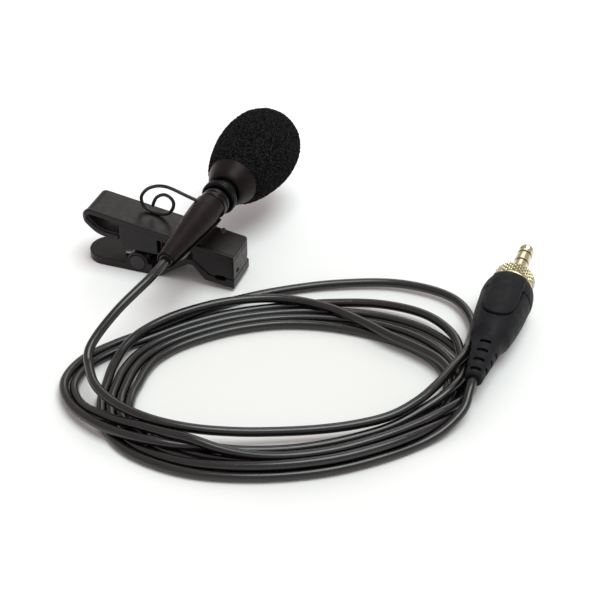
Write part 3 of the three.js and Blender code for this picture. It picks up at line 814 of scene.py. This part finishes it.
def lower_lever():
    """A D-shaped finger tab, two ears for the pin, an arched arm and the lower jaw, in one moulding."""
    outline = [
        (-19.1, 0.3), (-17.6, 0), (0.2, 0), (7.6, 5.1), (8.7, 5.1), (11.7, 1.7), (TIP, 0.8),
        *bite_line(BITE - BITE_GAP), (12.7, BITE + 0.3), (9.1, 6.5), (7.1, 6.5), (0.4, 2), (-19.1, 2),
    ]
    lever = slab(outline, NEAR, FAR)
    middle, half = (NEAR + FAR) / 2, (FAR - NEAR) / 2
    near, far = middle - half - 1, middle + half + 1
    tab = [(20, near), (20, far), (-14.3, far), *arc(-14.3, middle, half, 90, 270, 48), (-14.3, near)]
    within(lever, plate(tab, -1, 20))
    knuckle_room = across(*PIN, 2.2, NEAR + EAR_THICK, FAR - EAR_THICK)
    cut(lever, knuckle_room, head_seat(), pin_hole(), jaw_hole())
    parts = []
    for near in (NEAR, FAR - EAR_THICK):
        far = near + EAR_THICK
        ear = across(*PIN, EAR_RADIUS, near, far, 96)
        foot = block(PIN[0] - EAR_RADIUS, PIN[0] + 3.6, near, far, 0.5, PIN[1])
        parts += [cut(part, head_seat(), pin_hole()) for part in (ear, foot)]
    soften(join(lever, *parts), VOXEL, 4)
    piece(lever, "lever_lower", LAYOUT, "base", "clip_plastic", "lower_lever")


def hinge_pin():
    head, shank = 1.9, 0.8
    profile = [
        (0.01, NEAR - 0.15), (head - 0.2, NEAR - 0.15), (head - 0.05, NEAR - 0.1), (head, NEAR + 0.05),
        (head, NEAR + 0.45), (shank, NEAR + 0.45), (shank, FAR - 0.1), (shank - 0.1, FAR), (0.01, FAR),
    ]
    pin = lathe("pin", profile, 96)
    place = LAYOUT @ Matrix.Translation((PIN[0], 0, PIN[1]))
    piece(pin, "pin", place, "base", "dark_metal", "hinge_pin", angle=35)


def torsion_spring():
    """A coil round the pin, with a leg under each lever."""
    turns, per_turn = 4, 24
    near, far = -10.5, -7.9
    radius, wire = 1.35, 0.3
    count = turns * per_turn + 4
    coil = []
    for i in range(count):
        share = i / (count - 1)
        angle = radians(200 - share * (turns * 360 + 60))
        y = near + (far - near) * share
        coil.append((PIN[0] + radius * cos(angle), y, PIN[1] + radius * sin(angle)))
    lower = [(-9.6, near, 2.4), (-8.4, near, 2.38), (-7.4, near, 2.36)]
    upper = [(-8.2, far - 0.6, 4.9), (-10.4, far - 0.8, 6.4)]
    spring = tube("spring", curve_through(lower + coil + upper, 0.2), wire, 12)
    piece(spring, "spring", LAYOUT, None, "steel", "torsion_spring", angle=60)
    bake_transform(spring)


spring_strip()
upper_jaw()
lower_lever()
hinge_pin()
torsion_spring()

# ---- the plug, about its own axis ----

PLUG_STEP = 0.3
PARTING, SEAM = -6, 0.12
FILLET = [(3.05, -23.2), (3.2, -22.6), (3.38, -21.9), (3.62, -21.1), (4, -20.2)]
REAR_OUTLINE = [(4.4, -19.1), (5, -15.5), (5.5, -11), (5.75, PARTING)]
FRONT_OUTLINE = [(5.75, PARTING), (5.85, -4.5), (5.75, -3), (5.55, -1.8), (5.2, -0.9), (4.8, -0.4)]
TONGUE_HALF, TONGUE_BACK, TONGUE_FRONT = 3.7, -16.5, -1.6
TONGUE_ROUND, TONGUE_FLOOR, TONGUE_PROUD = 5.6, 4.2, 0.35
BOOT_SLOT_HALF, BOOT_SLOT_WIDE, BOOT_SLOT_FLOOR = 0.4, 1.2, 1
RING_BACK, RING_FRONT, RING_RADIUS = 0.7, 4.2, 4.7
KNURL_STARTS, KNURL_PITCH, KNURL_DEPTH, KNURL_SHARPNESS = 24, 1.15, 0.36, 6
JACK_BORE, JACK_RADIUS, BAND_RADIUS = 0.55, 1.75, 1.72


def tongue_block(margin, front):
    """The tongue's outline, with a long round end, as a block over the top of the plug."""
    half, long = TONGUE_HALF + margin, TONGUE_ROUND + margin
    end = [(x * half, TONGUE_BACK + TONGUE_ROUND + y * long) for x, y in arc(0, 0, 1, 180, 360, 40)]
    return plate([(half, front), (-half, front), *end], TONGUE_FLOOR - margin, 12)


def connector_shell():
    """The rear body, with room for the tongue."""
    outside = smooth_outline(FILLET + REAR_OUTLINE, PLUG_STEP)[:-1]
    front, back = PARTING - SEAM, FILLET[0][1]
    profile = [(2.4, back), *outside, (5.73, front), (3.3, front), (3.3, -14), (2.4, -14), (2.4, back)]
    shell = cut(lathe("connector", profile, 160), tongue_block(0.28, 0))
    soften(shell, VOXEL, 4)
    piece(shell, "connector_shell", PLUG_FRAME, "base", "plug_rubber", "connector_body")


def adaptor_shell():
    """The front body, with the raised tongue that reaches back over the rear one."""
    outside = smooth_outline(FRONT_OUTLINE, PLUG_STEP)[1:]
    back = PARTING + SEAM
    profile = [(3.3, back), (5.76, back), *outside, (2.45, -0.4), (2.45, -3.2), (3.3, -3.2), (3.3, back)]
    shell = lathe("adaptor", profile, 160)
    over = smooth_outline(REAR_OUTLINE[:-1] + FRONT_OUTLINE, PLUG_STEP, TONGUE_PROUD)
    raised = [(3.5, over[0][1]), *over, (3.5, over[-1][1]), (3.5, over[0][1])]
    tongue = within(lathe("tongue", raised, 160), tongue_block(0, TONGUE_FRONT))
    soften(join(shell, tongue), VOXEL, 4)
    piece(shell, "adaptor_shell", PLUG_FRAME, "adaptor", "plug_rubber", "adaptor_body")


def plug_boot():
    """The strain relief: a tapered boot with short slots, by turns above and below and at the sides."""
    profile = [
        (0.01, -34), (1.6, -34), (1.9, -33.7), (3.25, -22.2), (2.3, -22.2), (2.3, -16.5), (0.01, -16.5),
    ]
    boot = lathe("boot", profile, 96)
    half, wide = BOOT_SLOT_HALF, BOOT_SLOT_WIDE
    spans = ((BOOT_SLOT_FLOOR, 5), (-5, -BOOT_SLOT_FLOOR))
    for y in (-32.4, -29.6, -26.8, -24.1):
        cut(boot, *[block(-wide, wide, y - half, y + half, *span) for span in spans])
    for y in (-31, -28.2, -25.4):
        cut(boot, *[block(*span, y - half, y + half, -wide, wide) for span in spans])
    soften(boot, BOOT_VOXEL, 3)
    piece(boot, "plug_boot", PLUG_FRAME, "base", "plug_rubber", "plug_cable_boot")


def knurl(angle, radius, y):
    """Diamond knurling on the outside of the locking ring."""
    if radius < RING_RADIUS - 0.02:
        return 0
    around = angle * KNURL_STARTS
    along = (y - RING_BACK) * 2 * pi / KNURL_PITCH
    ridge = max(abs(sin((around + along) / 2)), abs(sin((around - along) / 2)))
    return -KNURL_DEPTH * ridge ** KNURL_SHARPNESS


def knurled_ring():
    rows = 56
    first, last = RING_BACK + 0.25, RING_FRONT - 0.35
    outside = [(RING_RADIUS, first + (last - first) * i / rows) for i in range(rows + 1)]
    profile = [
        (1.8, RING_BACK), (4.3, RING_BACK), (4.45, RING_BACK + 0.1), *outside, (4.5, RING_FRONT - 0.2),
        (4.3, RING_FRONT), (3.4, RING_FRONT), (3.4, RING_BACK + 0.8), (1.8, RING_BACK + 0.8),
        (1.8, RING_BACK),
    ]
    ring = lathe("ring", profile, 440, knurl)
    piece(ring, "knurled_ring", PLUG_FRAME, "lock_ring", "gold", "locking_ring", angle=40)


def jack_part(outer, back, front):
    """The profile of one contact or insulator ring of the jack."""
    corners = [(JACK_BORE, back), (outer, back), (outer, front), (JACK_BORE, front), (JACK_BORE, back)]
    return rounded_ring(corners, 0.05)


def jack():
    """The jack's contacts and insulators, with the flange behind the locking ring."""
    sleeve_profile = [
        (JACK_BORE, -3), (2.4, -3), (2.4, -0.35), (4.75, -0.35, 0.12), (4.9, -0.2, 0.1), (4.9, 0.25, 0.1),
        (4.75, 0.4, 0.12), (JACK_RADIUS, 0.4), (JACK_RADIUS, 9.9), (JACK_BORE, 9.9), (JACK_BORE, -3),
    ]
    parts = [
        ("jack_sleeve", rounded_ring(sleeve_profile, 0.06), "gold", "jack_sleeve_contact"),
        ("jack_ring", jack_part(JACK_RADIUS, 10.5, 13.2), "gold", "jack_ring_contact"),
        ("jack_band_rear", jack_part(BAND_RADIUS, 9.9, 10.5), "insulator", "jack_rear_insulator"),
        ("jack_band_front", jack_part(BAND_RADIUS, 13.2, 13.8), "insulator", "jack_front_insulator"),
    ]
    for name, profile, slot, node in parts:
        piece(lathe(name, profile, 96), name, PLUG_FRAME, "adaptor", slot, node, angle=35)
    tip_profile = rounded([
        (0.01, -3), (0.5, -3), (0.5, 13.8), (JACK_RADIUS, 13.8, 0.08), (JACK_RADIUS, 14.5, 0.1),
        (1.25, 15.1, 0.2), (1.72, 15.85, 0.5), (1.6, 16.4, 0.3), (0.7, 17.6, 0.5), (0.01, 17.6),
    ], 0.05, 6, loop=False)
    tip = lathe("jack_tip", tip_profile, 96)
    piece(tip, "jack_tip", PLUG_FRAME, "adaptor", "gold", "jack_tip_contact", angle=40)


connector_shell()
adaptor_shell()
plug_boot()
knurled_ring()
jack()

# ---- table and light, in metres ----

TABLE_HALF, TABLE_DROP = 30, 0.00002
# Painted shade on the floor: grey round the middle of the coil, fading to white further out.
WHITE, SHADE_GREY = (1, 1, 1), (0.81, 0.808, 0.79)
GREY_PLACE, GREY_REACH, GREY_FROM = (0.04, -0.043, 0), 0.075, 0.7
WORLD_COLOUR, WORLD_STRENGTH = (1, 0.89, 0.905, 1), 0.6
LIT_PLACE = Vector((0.03, -0.02, 0))
OVERHEAD_PLACE, OVERHEAD_COLOUR = (0.35, 0, 1.2), (0.88, 1, 0.975)
OVERHEAD_SPREAD, OVERHEAD_STRENGTH = radians(40), 1.9
BACK_PLACE, BACK_COLOUR = (-0.05, 1.2, 0.95), (0.96, 1, 0.93)
BACK_SIZE, BACK_RADIANCE = 0.9, 1.5


def paper():
    """White further out, with painted shade: a little less bright round the middle, where the coil and
    the clip lie.
    """
    made = bpy.data.materials.new("paper")
    made.use_nodes = True
    tree = made.node_tree
    shader = tree.nodes["Principled BSDF"]
    shader.inputs["Roughness"].default_value = 0.9
    shader.inputs["Specular IOR Level"].default_value = 0.05
    place = tree.nodes.new("ShaderNodeTexCoord")
    shade_spot = tree.nodes.new("ShaderNodeMapping")
    shade_spot.inputs["Location"].default_value = [-value / GREY_REACH for value in GREY_PLACE]
    shade_spot.inputs["Scale"].default_value = [1 / GREY_REACH] * 3
    fade = tree.nodes.new("ShaderNodeTexGradient")
    fade.gradient_type = "SPHERICAL"
    tree.links.new(place.outputs["Object"], shade_spot.inputs["Vector"])
    tree.links.new(shade_spot.outputs["Vector"], fade.inputs["Vector"])
    shown = ramp(tree, fade.outputs["Fac"], (0, GREY_FROM), (WHITE, SHADE_GREY))
    tree.links.new(shown, shader.inputs["Base Color"])
    return made


def make_table():
    half = TABLE_HALF
    corners = [(-half, -half, 0), (half, -half, 0), (half, half, 0), (-half, half, 0)]
    table = add_mesh("floor", corners, [(0, 1, 2, 3)])
    table.data.materials.append(paper())
    table.location.z = -TABLE_DROP


def add_light(name, kind, place, colour):
    """A light turned towards the model, whose power and size are still to be set."""
    data = bpy.data.lights.new(name, kind)
    data.color = colour
    light = bpy.data.objects.new(name, data)
    light.location = place
    light.rotation_euler = (LIT_PLACE - Vector(place)).to_track_quat("-Z", "Y").to_euler()
    bpy.context.scene.collection.objects.link(light)
    return data


def make_world():
    """Even light from all round."""
    world = bpy.data.worlds.new("world")
    world.use_nodes = True
    background = world.node_tree.nodes["Background"]
    background.inputs["Color"].default_value = WORLD_COLOUR
    background.inputs["Strength"].default_value = WORLD_STRENGTH
    bpy.context.scene.world = world


def make_lights():
    """A broad soft light from above, and a softbox behind that gives the top faces their sheen."""
    overhead = add_light("overhead", "SUN", OVERHEAD_PLACE, OVERHEAD_COLOUR)
    overhead.angle = OVERHEAD_SPREAD
    overhead.energy = OVERHEAD_STRENGTH
    back = add_light("back", "AREA", BACK_PLACE, BACK_COLOUR)
    back.shape = "DISK"
    back.size = BACK_SIZE
    back.energy = BACK_RADIANCE * (pi * BACK_SIZE / 2) ** 2


make_table()
make_world()
make_lights()
bpy.context.scene.view_settings.view_transform = "Standard"
